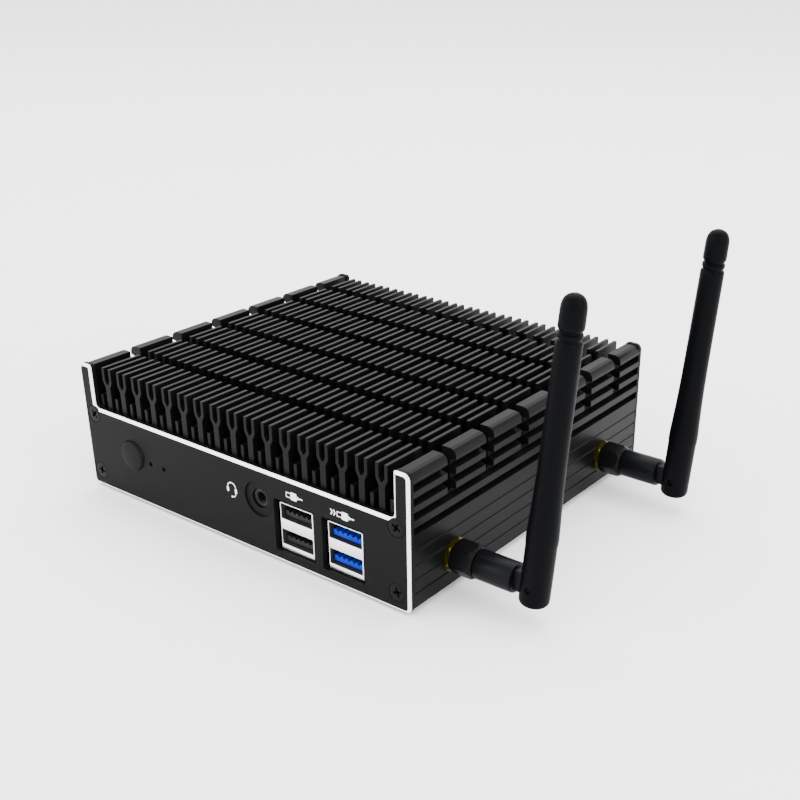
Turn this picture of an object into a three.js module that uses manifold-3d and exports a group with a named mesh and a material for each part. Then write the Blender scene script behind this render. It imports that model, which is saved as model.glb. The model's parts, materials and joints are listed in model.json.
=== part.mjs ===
// Fanless mini PC: finned aluminium housing, two end plates, a bottom cover, the mainboard and its
// sockets, and two jointed antennas on the right wall.
// Millimetres. +X right, +Y to the rear, +Z up. Lengths below are from the centre of the bottom cover's
// underside; the finished group is moved so that its origin is on the table, under the middle of the whole.

import * as THREE from 'three';
import { mergeVertices } from 'three/addons/utils/BufferGeometryUtils.js';
import Module from 'manifold-3d';

const wasm = await Module();
wasm.setup();

// ---------------------------------------------------------------- driving dimensions

const WIDTH = 138;
const DEPTH = 127.3;
const PLATE_THICK = 2;
const PLATE_BOTTOM = -0.6;
const PLATE_TOP = 43;
const NOTCH_TOP = 28.2;
const EAR_WIDTH = 5.53;
const PLATE_CHAMFER = 0.9;
const CHAMFER_DEPTH = 0.6;
const PLATE_CORNER = 2;

const BODY_TOP = 42.7;
const COVER_THICK = 1.6;
const WALL_THICK = 5;
const LOWER_WALL_THICK = 3.2;
const DECK_UNDER = 25;
const DECK_TOP = 27;

const FIN_COUNT = 17;
const FIN_PITCH = 7.24;
const FIN_TOP = 42.5;
const STEM_HALF = 1.1;
const FORK_SHOULDER = [35.8, 37.8];
const FORK_VALLEY = [36.9, 38.3];
const PRONG_OUTER = 2.16;
const PRONG_INNER = 1.06;
const STUB_HALF = 0.6;
const STUB_TOP = 32.8;

const CUT_COUNT = 6;
const CUT_FIRST = -46.6;
const CUT_WIDTH = 4;
const CUT_PITCH = 18.28;
const CUT_FLOOR = 29.7;

const GROOVE_DEPTH = 2.15;
const GROOVE_SLANT = 0.5;
const GROOVES = [[23.7, 26.1], [28.3, 30.8], [32.7, 35.2], [37.1, 39.6]];
const SCORE_LINES = [5.3, 9.8, 14.3, 18.7];
const SCORE_DEPTH = 0.3;

const SCREW_X = 64.3;
const SCREW_Z = [5.2, 25.8];
const SCREW_HEAD_R = 2.9;
const SCREW_SHANK_R = 1.5;
const SCREW_HEAD_DEPTH = 1.5;
const SCREW_LENGTH = 9;
const COVER_SCREW_Y = 46;
const FOOT_HEIGHT = 1.5;
const FOOT_R = 5;

const BUTTON = { x: -46.5, z: 15.7, r: 4.95, gap: 0.2, proud: 0.8 };
const LIGHTS = { x: [-37.9, -31.64], z: 15, r: 0.7, setBack: 0.7 };
const AUDIO = { x: 11.2, z: 17.9, recessR: 5.85, recess: 0.5, holeR: 3.12 };
const USB = { x: [25.4, 44.5], z: [3.4, 19], width: 13.2, setBack: 1.2, length: 17 };
const USB_PORTS = [[5.1, 10.2], [13.65, 18.75]];
const USB_CUTOUT = { width: 16, z: [3, 20.4] };

const BOARD_UNDER = 19;
const BOARD_TOP = 20.6;
const BOARD_HALF = [59, 59];

const JACK_Y = [-43.4, 39.55];
const JACK_Z = 10;
const PIVOT_REACH = 28.1;
const BARREL_R = 4.5;
const BARREL_END = 22;
const COUPLING_START = 1.4;
const TONGUE_R = 3.2;
const TONGUE_HALF = 1.7;
const WHIP_LEAN = [4.4, 5.23];
const WHIP_SWING = [-1.8, 2.05];
const TOE_R = 5.85;

const MIDDLE_X = 19.437;

const FRONT = -DEPTH / 2;
const HALF_WIDTH = WIDTH / 2;
const HOUSING_HALF = DEPTH / 2 - PLATE_THICK;

// ---------------------------------------------------------------- finishes

const finish = (color, roughness, metalness) => ({ color, roughness, metalness });
const FINISH = {
  anodised: finish(0x17181a, 0.45, 0.85),
  plate: finish(0x2b2c2d, 0.55, 0.7),
  blackSteel: finish(0x1a1a1b, 0.4, 0.8),
  rubber: finish(0x141414, 0.85, 0),
  blackPlastic: finish(0x1b1b1d, 0.5, 0),
  antenna: finish(0x202126, 0.55, 0),
  gold: finish(0xc9a23e, 0.3, 1),
  nickel: finish(0xd8dadc, 0.25, 1),
  bluePlastic: finish(0x1f62d6, 0.45, 0),
  boardGreen: finish(0x14482c, 0.6, 0),
  copper: finish(0xb87547, 0.35, 1),
  aluminium: finish(0xb9bcc0, 0.4, 1),
  lightPipe: finish(0xdfe3e6, 0.3, 0),
};

// ---------------------------------------------------------------- geometry helpers

const TURN_Z_TO_X = new THREE.Matrix4().makeBasis(
  new THREE.Vector3(0, 1, 0), new THREE.Vector3(0, 0, 1), new THREE.Vector3(1, 0, 0));

function box(x, y, z) {
  const geometry = new THREE.BoxGeometry(x[1] - x[0], y[1] - y[0], z[1] - z[0]);
  return geometry.translate((x[0] + x[1]) / 2, (y[0] + y[1]) / 2, (z[0] + z[1]) / 2);
}

const shapeOf = (points) => new THREE.Shape(points.map(([a, b]) => new THREE.Vector2(a, b)));

// Outline in X and Z, drawn out along Y.
function extrudeY(points, y0, y1) {
  const geometry = new THREE.ExtrudeGeometry(shapeOf(points), { depth: y1 - y0, bevelEnabled: false });
  return geometry.rotateX(Math.PI / 2).translate(0, y1, 0);
}

// Outline in X and Y, drawn out along Z.
function extrudeZ(points, z0, z1) {
  const geometry = new THREE.ExtrudeGeometry(shapeOf(points), { depth: z1 - z0, bevelEnabled: false });
  return geometry.translate(0, 0, z0);
}

// Profile points are [radius, height]; the lathe turns them about +Z.
function latheZ(profile, segments) {
  const points = profile.map(([r, h]) => new THREE.Vector2(r, h));
  return new THREE.LatheGeometry(points, segments).rotateX(Math.PI / 2);
}

const latheX = (profile, segments) => latheZ(profile, segments).applyMatrix4(TURN_Z_TO_X);
const latheY = (profile, segments) => latheZ(profile, segments).rotateX(-Math.PI / 2);

// Solid rod from h0 to h1 as a lathe profile.
const rod = (r, h0, h1) => [[0, h0], [r, h0], [r, h1], [0, h1]];

const acrossFlats = (flats) => flats / 2 / Math.cos(Math.PI / 6);

function solid(geometry) {
  const bare = geometry.clone();
  bare.deleteAttribute('normal');
  bare.deleteAttribute('uv');
  const merged = mergeVertices(bare.index ? bare.toNonIndexed() : bare, 1e-4);
  return new wasm.Manifold(new wasm.Mesh({
    numProp: 3,
    vertProperties: new Float32Array(merged.attributes.position.array),
    triVerts: new Uint32Array(merged.index.array),
  }));
}

function geometryOf(manifold) {
  const mesh = manifold.getMesh();
  const geometry = new THREE.BufferGeometry();
  geometry.setAttribute('position', new THREE.BufferAttribute(new Float32Array(mesh.vertProperties), 3));
  geometry.setIndex(new THREE.BufferAttribute(new Uint32Array(mesh.triVerts), 1));
  geometry.computeVertexNormals();
  return geometry;
}

const join = (...pieces) => geometryOf(pieces.map(solid).reduce((sum, next) => sum.add(next)));
const cut = (body, ...tools) => geometryOf(
  tools.reduce((rest, tool) => rest.subtract(solid(tool)), solid(body)));

// Closed body through rings of equal length; each ring is counter-clockwise seen from the first one.
function loft(rings) {
  const count = rings[0].length;
  const index = [];
  const cap = THREE.ShapeUtils.triangulateShape(rings[0].map((p) => new THREE.Vector2(p.x, p.z)), []);
  const last = (rings.length - 1) * count;
  for (const [a, b, c] of cap) {
    index.push(a, b, c);
    index.push(last + a, last + c, last + b);
  }
  for (let layer = 0; layer < rings.length - 1; layer += 1) {
    for (let i = 0; i < count; i += 1) {
      const a = layer * count + i;
      const b = layer * count + (i + 1) % count;
      index.push(a, a + count, b + count);
      index.push(a, b + count, b);
    }
  }
  const geometry = new THREE.BufferGeometry().setFromPoints(rings.flat());
  geometry.setIndex(index);
  geometry.computeVertexNormals();
  return geometry;
}

// ---------------------------------------------------------------- assembly root

const group = new THREE.Group();
const assembly = new THREE.Group();
assembly.position.set(-MIDDLE_X, BUTTON.proud / 2, FOOT_HEIGHT);
group.add(assembly);

function add(parent, name, geometry, look) {
  const mesh = new THREE.Mesh(geometry, new THREE.MeshStandardMaterial(look));
  mesh.name = name;
  parent.add(mesh);
  return mesh;
}

// ---------------------------------------------------------------- housing

// Outer face of the right wall from the bottom up, with score lines, grooves and a round top corner.
function wallOutline() {
  const points = [[HALF_WIDTH, COVER_THICK]];
  for (const z of SCORE_LINES) {
    points.push([HALF_WIDTH, z - SCORE_DEPTH], [HALF_WIDTH - SCORE_DEPTH, z], [HALF_WIDTH, z + SCORE_DEPTH]);
  }
  const floorX = HALF_WIDTH - GROOVE_DEPTH;
  for (const [low, high] of GROOVES) {
    points.push([HALF_WIDTH, low], [floorX, low + GROOVE_SLANT]);
    points.push([floorX, high - GROOVE_SLANT], [HALF_WIDTH, high]);
  }
  const cornerR = 2.2;
  for (let step = 0; step <= 3; step += 1) {
    const angle = (step / 3) * Math.PI / 2;
    points.push([
      HALF_WIDTH - cornerR + cornerR * Math.cos(angle),
      BODY_TOP - cornerR + cornerR * Math.sin(angle),
    ]);
  }
  points.push([HALF_WIDTH - WALL_THICK, BODY_TOP]);
  return points;
}

// Forked fin, from its right foot over both prongs to its left foot.
function forkOutline(x) {
  const half = [
    [STEM_HALF, DECK_TOP], [STEM_HALF, FORK_SHOULDER[0]], [PRONG_OUTER, FORK_SHOULDER[1]],
    [PRONG_OUTER, FIN_TOP], [PRONG_INNER, FIN_TOP], [PRONG_INNER, FORK_VALLEY[1]], [0.3, FORK_VALLEY[0]],
  ];
  const left = half.map(([dx, z]) => [x - dx, z]).reverse();
  return [...half.map(([dx, z]) => [x + dx, z]), ...left];
}

const stubOutline = (x) => [
  [x + STUB_HALF, DECK_TOP], [x + STUB_HALF, STUB_TOP], [x - STUB_HALF, STUB_TOP], [x - STUB_HALF, DECK_TOP]];

function housingSection() {
  const innerX = HALF_WIDTH - LOWER_WALL_THICK;
  const leg = [
    [61.3, DECK_UNDER], [61.3, 22.8], [innerX, 22.8], [innerX, 7.8], [61.8, 7.8], [61.8, COVER_THICK]];
  const ledge = [[HALF_WIDTH - WALL_THICK, 28], [62.6, 28], [62.6, DECK_TOP]];
  const rightSide = [...leg, ...wallOutline(), ...ledge];
  const leftSide = rightSide.map(([x, z]) => [-x, z]).reverse();
  const crown = [];
  for (let slot = 2 * FIN_COUNT; slot >= 0; slot -= 1) {
    const x = (slot - FIN_COUNT) * FIN_PITCH / 2;
    crown.push(...(slot % 2 === 1 ? forkOutline(x) : stubOutline(x)));
  }
  return [...rightSide, ...crown, ...leftSide];
}

function crossCut(index) {
  const y = CUT_FIRST + index * CUT_PITCH;
  return box([-HALF_WIDTH - 1, HALF_WIDTH + 1], [y, y + CUT_WIDTH], [CUT_FLOOR, BODY_TOP + 1]);
}

function buildHousing() {
  const blank = extrudeY(housingSection(), -HOUSING_HALF, HOUSING_HALF);
  const tools = [];
  for (let i = 0; i < CUT_COUNT; i += 1) {
    tools.push(crossCut(i));
  }
  for (const y of JACK_Y) {
    tools.push(latheX(rod(3.35, HALF_WIDTH - 6, HALF_WIDTH + 1), 16).translate(0, y, JACK_Z));
    tools.push(box([60, HALF_WIDTH - LOWER_WALL_THICK], [y - 5.6, y + 5.6], [4.8, 15]));
  }
  for (const x of [-SCREW_X, SCREW_X]) {
    for (const z of SCREW_Z) {
      const bore = rod(SCREW_SHANK_R + 0.12, HOUSING_HALF - 8.5, HOUSING_HALF + 1);
      tools.push(latheY(bore, 10).translate(x, 0, z));
      tools.push(latheY(bore, 10).rotateZ(Math.PI).translate(x, 0, z));
    }
    for (const y of [-COVER_SCREW_Y / 2, COVER_SCREW_Y / 2]) {
      tools.push(latheZ(rod(SCREW_SHANK_R + 0.12, 0, 6.6), 10).translate(x, y, 0));
    }
  }
  add(assembly, 'housing', cut(blank, ...tools), FINISH.anodised);
}

// ---------------------------------------------------------------- end plates and bottom cover

// Plate outline seen from the front: ears at both sides and a wide notch between them.
// The inset moves every edge inwards by the same distance.
function plateRing(inset, y) {
  const outer = HALF_WIDTH - inset;
  const ear = HALF_WIDTH - EAR_WIDTH + inset;
  const low = PLATE_BOTTOM + inset;
  const top = PLATE_TOP - inset;
  const notch = NOTCH_TOP - inset;
  const convex = PLATE_CORNER - inset;
  const tip = 1 - inset;
  const fillet = 1.6 + inset;
  const corners = [
    [outer - convex, low + convex, convex, -90, 0],
    [outer - convex, top - convex, convex, 0, 90],
    [ear + tip, top - tip, tip, 90, 180],
    [ear - fillet, notch + fillet, fillet, 0, -90],
  ];
  const right = [];
  for (const [x, z, r, from, to] of corners) {
    for (let step = 0; step <= 3; step += 1) {
      const angle = THREE.MathUtils.degToRad(from + (to - from) * step / 3);
      right.push(new THREE.Vector3(x + r * Math.cos(angle), y, z + r * Math.sin(angle)));
    }
  }
  const left = right.map((p) => new THREE.Vector3(-p.x, p.y, p.z)).reverse();
  return [...right, ...left];
}

function plateBlank() {
  return loft([
    plateRing(PLATE_CHAMFER, FRONT),
    plateRing(0, FRONT + CHAMFER_DEPTH),
    plateRing(0, FRONT + PLATE_THICK),
  ]);
}

// Countersunk hole, its wide end at y = 0 and running to +Y.
function countersinkTool(clearance) {
  const head = SCREW_HEAD_R + clearance;
  const shank = SCREW_SHANK_R + clearance;
  return latheY([[0, -1], [head, -1], [head, 0.1], [shank, SCREW_HEAD_DEPTH + 0.1], [shank, 4], [0, 4]], 16);
}

const plateScrewPlaces = () => [-SCREW_X, SCREW_X].flatMap((x) => SCREW_Z.map((z) => [x, z]));
const coverScrewPlaces = () => [-SCREW_X, SCREW_X].flatMap((x) => (
  [-COVER_SCREW_Y / 2, COVER_SCREW_Y / 2].map((y) => [x, y])));

function drillRod(r, x, z, segments) {
  return latheY(rod(r, -1, PLATE_THICK + 1), segments).translate(x, FRONT, z);
}

function buildFrontPlate() {
  const tools = plateScrewPlaces().map(([x, z]) => countersinkTool(0.15).translate(x, FRONT, z));
  tools.push(drillRod(BUTTON.r + BUTTON.gap, BUTTON.x, BUTTON.z, 28));
  for (const x of LIGHTS.x) {
    tools.push(drillRod(LIGHTS.r + 0.15, x, LIGHTS.z, 10));
  }
  tools.push(latheY(rod(AUDIO.recessR, -1, AUDIO.recess), 24).translate(AUDIO.x, FRONT, AUDIO.z));
  tools.push(drillRod(AUDIO.holeR, AUDIO.x, AUDIO.z, 20));
  const half = USB_CUTOUT.width / 2;
  for (const x of USB.x) {
    const through = [FRONT - 1, FRONT + PLATE_THICK + 1];
    tools.push(box([x - half, x + half], through, USB_CUTOUT.z));
  }
  add(assembly, 'front_plate', cut(plateBlank(), ...tools), FINISH.plate);
}

const REAR_PORTS = {
  lan: { x: [-50, -34], z: [5.2, BOARD_UNDER], length: 21 },
  display: { x: [-20, -5], z: [13, BOARD_UNDER], length: 11 },
  power: { x: [34.5, 43.5], z: [8, BOARD_UNDER], length: 13 },
};

function buildRearPlate() {
  const tools = plateScrewPlaces().map(([x, z]) => countersinkTool(0.15).translate(x, FRONT, z));
  const through = [FRONT - 1, FRONT + PLATE_THICK + 1];
  for (const port of [REAR_PORTS.lan, REAR_PORTS.display]) {
    tools.push(box([-port.x[1] - 0.3, -port.x[0] + 0.3], through, [port.z[0] - 0.3, port.z[1] + 0.3]));
  }
  const { x } = REAR_PORTS.power;
  tools.push(drillRod(4.2, -(x[0] + x[1]) / 2, 13.5, 20));
  const plate = add(assembly, 'rear_plate', cut(plateBlank(), ...tools), FINISH.plate);
  plate.rotation.z = Math.PI;
}

function buildBottomCover() {
  const bevel = 0.8;
  const section = [
    [-HALF_WIDTH + bevel, 0], [HALF_WIDTH - bevel, 0], [HALF_WIDTH, bevel],
    [HALF_WIDTH, COVER_THICK], [-HALF_WIDTH, COVER_THICK], [-HALF_WIDTH, bevel],
  ];
  const tools = coverScrewPlaces().map(([x, y]) => (
    countersinkTool(0.15).rotateX(Math.PI / 2).translate(x, y, 0)));
  const cover = cut(extrudeY(section, -HOUSING_HALF, HOUSING_HALF), ...tools);
  add(assembly, 'bottom_cover', cover, FINISH.anodised);
}

// ---------------------------------------------------------------- fasteners and feet

// Countersunk screw with its head face at y = 0.1 and its shank running to +Y.
function screwGeometry(length) {
  const profile = [
    [0, 0.1], [SCREW_HEAD_R, 0.1], [SCREW_SHANK_R, SCREW_HEAD_DEPTH + 0.1],
    [SCREW_SHANK_R, length - 0.8], [SCREW_SHANK_R - 0.6, length], [0, length],
  ];
  return latheY(profile, 12);
}

function buildFasteners() {
  plateScrewPlaces().forEach(([x, z], i) => {
    const front = add(assembly, `front_screw_${i + 1}`, screwGeometry(SCREW_LENGTH), FINISH.blackSteel);
    front.position.set(x, FRONT, z);
    const rear = add(assembly, `rear_screw_${i + 1}`, screwGeometry(SCREW_LENGTH), FINISH.blackSteel);
    rear.rotation.z = Math.PI;
    rear.position.set(x, -FRONT, z);
  });
  coverScrewPlaces().forEach(([x, y], i) => {
    const screw = add(assembly, `cover_screw_${i + 1}`, screwGeometry(6), FINISH.blackSteel);
    screw.rotation.x = Math.PI / 2;
    screw.position.set(x, y, 0);
  });
}

function buildFeet() {
  [[-55, -52], [55, -52], [-55, 52], [55, 52]].forEach(([x, y], i) => {
    const profile = [
      [0, -FOOT_HEIGHT], [FOOT_R - 0.5, -FOOT_HEIGHT], [FOOT_R, -FOOT_HEIGHT + 0.5], [FOOT_R, 0], [0, 0]];
    add(assembly, `foot_${i + 1}`, latheZ(profile, 16).translate(x, y, 0), FINISH.rubber);
  });
}

// ---------------------------------------------------------------- front controls and sockets

function buildControls() {
  const back = FRONT + PLATE_THICK;
  const face = FRONT - BUTTON.proud;
  const buttonProfile = [
    [0, face], [BUTTON.r - 0.3, face], [BUTTON.r, face + 0.3], [BUTTON.r, back + 0.15],
    [BUTTON.r + 0.9, back + 0.15], [BUTTON.r + 0.9, back + 0.85], [1.5, back + 0.85], [1.5, back + 2.4],
    [0, back + 2.4],
  ];
  add(assembly, 'power_button', latheY(buttonProfile, 28).translate(BUTTON.x, 0, BUTTON.z), FINISH.plate);
  const switchBody = box([BUTTON.x - 3, BUTTON.x + 3], [back + 4.2, back + 8], [13, BOARD_UNDER]);
  const plunger = latheY(rod(1.2, back + 3.2, back + 5), 10).translate(BUTTON.x, 0, BUTTON.z);
  add(assembly, 'power_switch', join(switchBody, plunger), FINISH.blackPlastic);
  LIGHTS.x.forEach((x, i) => {
    const guide = latheY(rod(LIGHTS.r, FRONT + LIGHTS.setBack, FRONT + 7), 10).translate(x, 0, LIGHTS.z);
    const leg = box([x - 0.65, x + 0.65], [FRONT + 5.6, FRONT + 6.9], [LIGHTS.z, BOARD_UNDER]);
    add(assembly, `light_pipe_${i + 1}`, join(guide, leg), FINISH.lightPipe);
  });
}

function buildAudioJack() {
  const nose = latheY(rod(AUDIO.holeR - 0.15, FRONT + 1.2, FRONT + 3.5), 20);
  const body = box([-3.2, 3.2], [FRONT + 3, FRONT + 14], [-2.5, 2.5]);
  const bore = latheY(rod(1.8, FRONT, FRONT + 12.5), 14);
  const top = BOARD_UNDER - AUDIO.z;
  const flange = box([-5.2, 5.2], [FRONT + 6, FRONT + 11], [top - 1, top]);
  const jack = cut(join(nose, body, flange), bore).translate(AUDIO.x, 0, AUDIO.z);
  add(assembly, 'headphone_jack', jack, FINISH.blackPlastic);
}

// Double-height socket: a folded shell with two ports and a moulded insert with two tongues.
function buildUsb(name, x, insertLook) {
  const y0 = FRONT + USB.setBack;
  const y1 = y0 + USB.length;
  const [low, high] = USB.z;
  const chamber = y1 - 4;
  const half = USB.width / 2;
  const inner = half - 0.35;
  const cavities = USB_PORTS.map((z) => box([x - inner, x + inner], [y0 - 1, chamber + 0.5], z));
  const back = box([x - inner, x + inner], [chamber, y1 - 0.4], [low + 0.4, high - 0.25]);
  const shell = cut(box([x - half, x + half], [y0, y1], USB.z), ...cavities, back);
  add(assembly, `${name}_shell`, shell, FINISH.nickel);
  const gap = 0.1;
  const block = box(
    [x - inner + gap, x + inner - gap], [chamber + gap, y1 - 0.4], [low + 0.4 + gap, high - 0.25 - gap]);
  const tongues = USB_PORTS.map(([floor]) => (
    box([x - 5.6, x + 5.6], [y0 + 1.2, chamber + 1], [floor + 0.6, floor + 2.5])));
  add(assembly, `${name}_insert`, join(block, ...tongues), insertLook);
}

// ---------------------------------------------------------------- mainboard and inner pieces

function buildMainboard() {
  const [hx, hy] = BOARD_HALF;
  const slot = [AUDIO.x - 3.5, AUDIO.x + 3.5];
  const outline = [
    [-hx, -hy], [slot[0], -hy], [slot[0], FRONT + 14.4], [slot[1], FRONT + 14.4], [slot[1], -hy],
    [hx, -hy], [hx, hy], [-hx, hy],
  ];
  add(assembly, 'mainboard', extrudeZ(outline, BOARD_UNDER, BOARD_TOP), FINISH.boardGreen);
  const standoffR = acrossFlats(5);
  [[-50, -48], [50, -48], [-50, 52], [50, 52]].forEach(([x, y], i) => {
    const post = latheZ(rod(standoffR, BOARD_TOP, DECK_UNDER), 6);
    add(assembly, `standoff_${i + 1}`, post.translate(x, y, 0), FINISH.gold);
  });
  const dieTop = BOARD_TOP + 1.3;
  const processor = join(
    box([-12, 12], [-9, 15], [BOARD_TOP, BOARD_TOP + 0.8]), box([-5, 5], [-3, 9], [BOARD_TOP + 0.5, dieTop]));
  add(assembly, 'processor', processor, FINISH.blackPlastic);
  add(assembly, 'heat_spreader', box([-22, 22], [-19, 25], [dieTop, DECK_UNDER]), FINISH.copper);
}

function buildCards() {
  const under = BOARD_UNDER;
  const module = join(
    box([-49, 18.6], [-36, -6.2], [14.2, 15.2]),
    box([-44, -18], [-31, -15], [13.2, 14.6]), box([-12, 14], [-31, -15], [13.2, 14.6]));
  add(assembly, 'memory_module', module, FINISH.boardGreen);
  const socket = cut(
    box([-52, 21.6], [-9, 0], [12.8, under]), box([-49.2, 18.8], [-10, -6.2], [14.2, 15.2]));
  add(assembly, 'memory_socket', socket, FINISH.blackPlastic);
  const drive = join(
    box([-55, 25], [6, 28], [15.4, 16.2]), box([-50, -34], [9, 25], [14.2, 15.8]),
    box([-28, -4], [9, 25], [14.2, 15.8]), box([20, 25], [7, 27], [15.8, under]));
  add(assembly, 'solid_state_drive', drive, FINISH.boardGreen);
  const wifi = join(
    box([31, 53], [-26, 4], [15.4, 16.2]), box([33, 51], [-22, -4], [13.8, 15.8]),
    box([32, 52], [0, 4], [15.8, under]));
  add(assembly, 'wifi_card', wifi, FINISH.boardGreen);
  add(assembly, 'clock_battery', latheZ(rod(10, 15.6, under), 20).translate(42, 20, 0), FINISH.nickel);
}

function buildRearPorts() {
  const rear = -FRONT - 0.6;
  const { lan, display, power } = REAR_PORTS;
  const lanBody = box(lan.x, [rear - lan.length, rear], lan.z);
  const lanMouth = box([lan.x[0] + 2, lan.x[1] - 2], [rear - 14, rear + 1], [lan.z[0] + 3, lan.z[1] - 2.5]);
  add(assembly, 'network_port', cut(lanBody, lanMouth), FINISH.nickel);
  const dispBody = box(display.x, [rear - display.length, rear], display.z);
  const dispMouth = box(
    [display.x[0] + 0.5, display.x[1] - 0.5], [rear - 9, rear + 1], [display.z[0] + 0.5, display.z[1] - 0.5]);
  const tongue = box([display.x[0] + 2, display.x[1] - 2], [rear - 10, rear - 2], [15.2, 16.6]);
  add(assembly, 'display_port', join(cut(dispBody, dispMouth), tongue), FINISH.nickel);
  const x = (power.x[0] + power.x[1]) / 2;
  const housing = box(power.x, [rear - power.length, rear - 1.6], power.z);
  const nose = latheY(rod(4, rear - 2, rear), 16).translate(x, 0, 13.5);
  const bore = latheY(rod(2.8, rear - 10, rear + 1), 10).translate(x, 0, 13.5);
  add(assembly, 'power_inlet', cut(join(housing, nose), bore), FINISH.blackPlastic);
}

// ---------------------------------------------------------------- antennas

// Bulkhead jack through the right wall: inner crimp tail, hex flange and threaded shank.
function jackGeometry() {
  const tail = latheX([[0, -15], [1.5, -15], [1.5, -10], [2.6, -10], [2.6, -5.1], [0, -5.1]], 12);
  const flange = latheX(rod(acrossFlats(8), -5.2, -LOWER_WALL_THICK), 6);
  const shank = latheX(rod(3.17, -LOWER_WALL_THICK - 0.1, 8.2), 16);
  return join(tail, flange, shank);
}

// Coupling nut: hexagon with a turned, tapered outer end.
function couplingNutGeometry() {
  const blank = latheX(rod(acrossFlats(9.6), COUPLING_START, 9), 6);
  const turned = latheX([[0, COUPLING_START], [5.3, COUPLING_START], [5.3, 8.1], [4.5, 9], [0, 9]], 24);
  const bore = latheX(rod(3.35, 1, 10), 16);
  return geometryOf(solid(blank).intersect(solid(turned)).subtract(solid(bore)));
}

// Barrel with a flat tongue at its outer end, bored across for the hinge pin.
function barrelGeometry() {
  const profile = [
    [0, 8.6], [3.1, 8.6], [3.1, 9.2], [BARREL_R - 0.3, 9.2], [BARREL_R, 9.5],
    [BARREL_R, BARREL_END - 0.3], [BARREL_R - 0.3, BARREL_END], [0, BARREL_END]];
  const bar = box([BARREL_END - 1, PIVOT_REACH], [-TONGUE_HALF, TONGUE_HALF], [-TONGUE_R, TONGUE_R]);
  const eye = latheY(rod(TONGUE_R, -TONGUE_HALF, TONGUE_HALF), 16).translate(PIVOT_REACH, 0, 0);
  const pinHole = latheY(rod(1.1, -6, 6), 12).translate(PIVOT_REACH, 0, 0);
  return cut(join(latheX(profile, 20), bar, eye), pinHole);
}

// Whip: tapered sheath with a slotted foot, a bead between two grooves and a domed tip. The foot's edge
// that turns past the barrel is rounded about the hinge.
function whipGeometry() {
  const profile = [
    [0, -5.6], [3.7, -5.6], [4.25, -5.1], [4.4, -4.6], [4.42, 12.9], [4.55, 14.4], [4.52, 16.6],
    [4.15, 25], [3.85, 34], [3.68, 52], [3.55, 71.4],
    [2.85, 71.9], [2.85, 72.5], [3.35, 72.7], [3.35, 73.9], [2.85, 74.1], [2.85, 74.7],
    [3.5, 75.2], [3.45, 80.5], [3.05, 82.4], [1.9, 83.7], [0, 84.1]];
  const reach = TONGUE_R + 0.3;
  const half = TONGUE_HALF + 0.3;
  const slot = box([-6, reach], [-half, half], [-6, reach]);
  const bore = latheZ(rod(1.6, 3, 68), 8);
  const pinHole = latheY(rod(0.9, -6, 6), 12);
  const toe = cut(box([-8, 0], [-6, 6], [-8, 0]), latheY(rod(TOE_R, -7, 7), 32));
  return cut(latheZ(profile, 20), slot, bore, pinHole, toe);
}

// Cable from the jack's tail to the radio card, held along the wall.
function cableGeometry(points) {
  const ring = new THREE.Shape();
  ring.absarc(0, 0, 0.55, 0, Math.PI * 2);
  const route = new THREE.CatmullRomCurve3(points.map((p) => new THREE.Vector3(...p)), false, 'centripetal');
  return new THREE.ExtrudeGeometry(ring, { steps: 28, curveSegments: 3, extrudePath: route });
}

const CABLES = {
  front_antenna_cable: [
    [54, JACK_Y[0], JACK_Z], [51.5, JACK_Y[0], JACK_Z], [46, -38, 11], [42.5, -28, 12.4], [42, -20, 13.2],
    [42, -15, 13.2]],
  rear_antenna_cable: [
    [54, JACK_Y[1], JACK_Z], [51.5, JACK_Y[1], JACK_Z], [50.5, 34, 10], [54.5, 22, 10], [55, 8, 10.8],
    [51.5, -2, 12.4], [47.5, -8, 13.2], [46, -13, 13.2]],
};

function buildAntenna(name, y, lean, swing) {
  const mountPoint = new THREE.Group();
  mountPoint.position.set(HALF_WIDTH, y, JACK_Z);
  assembly.add(mountPoint);
  add(mountPoint, `${name}_jack`, jackGeometry(), FINISH.gold);
  const hexNut = cut(latheX(rod(acrossFlats(9), 0.1, 1.2), 6), latheX(rod(3.35, -1, 4), 16));
  add(mountPoint, `${name}_jack_nut`, hexNut, FINISH.gold);
  add(mountPoint, `${name}_coupling_nut`, couplingNutGeometry(), FINISH.blackSteel);

  const swivel = new THREE.Group();
  swivel.rotation.x = THREE.MathUtils.degToRad(swing);
  mountPoint.add(swivel);
  add(swivel, `${name}_barrel`, barrelGeometry(), FINISH.antenna);

  const elbow = new THREE.Group();
  elbow.position.x = PIVOT_REACH;
  elbow.rotation.y = THREE.MathUtils.degToRad(lean);
  swivel.add(elbow);
  add(elbow, `${name}_whip`, whipGeometry(), FINISH.antenna);
  add(elbow, `${name}_hinge_pin`, latheY(rod(0.85, -4.1, 4.1), 12), FINISH.blackSteel);
  add(elbow, `${name}_radiator`, latheZ(rod(1.3, 8, 66), 8), FINISH.gold);
}

// ---------------------------------------------------------------- build

buildHousing();
buildFrontPlate();
buildRearPlate();
buildBottomCover();
buildFasteners();
buildFeet();
buildControls();
buildAudioJack();
buildUsb('usb2', USB.x[0], FINISH.blackPlastic);
buildUsb('usb3', USB.x[1], FINISH.bluePlastic);
buildMainboard();
buildCards();
buildRearPorts();
buildAntenna('front_antenna', JACK_Y[0], WHIP_LEAN[0], WHIP_SWING[0]);
buildAntenna('rear_antenna', JACK_Y[1], WHIP_LEAN[1], WHIP_SWING[1]);
for (const [name, route] of Object.entries(CABLES)) {
  add(assembly, name, cableGeometry(route), FINISH.blackPlastic);
}

export default group;
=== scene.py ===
"""Looks for the mini PC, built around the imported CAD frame. Lengths are in millimetres; MM makes them metres."""

import json
import math

import bmesh
import bpy
from mathutils import Matrix, Vector


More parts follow.
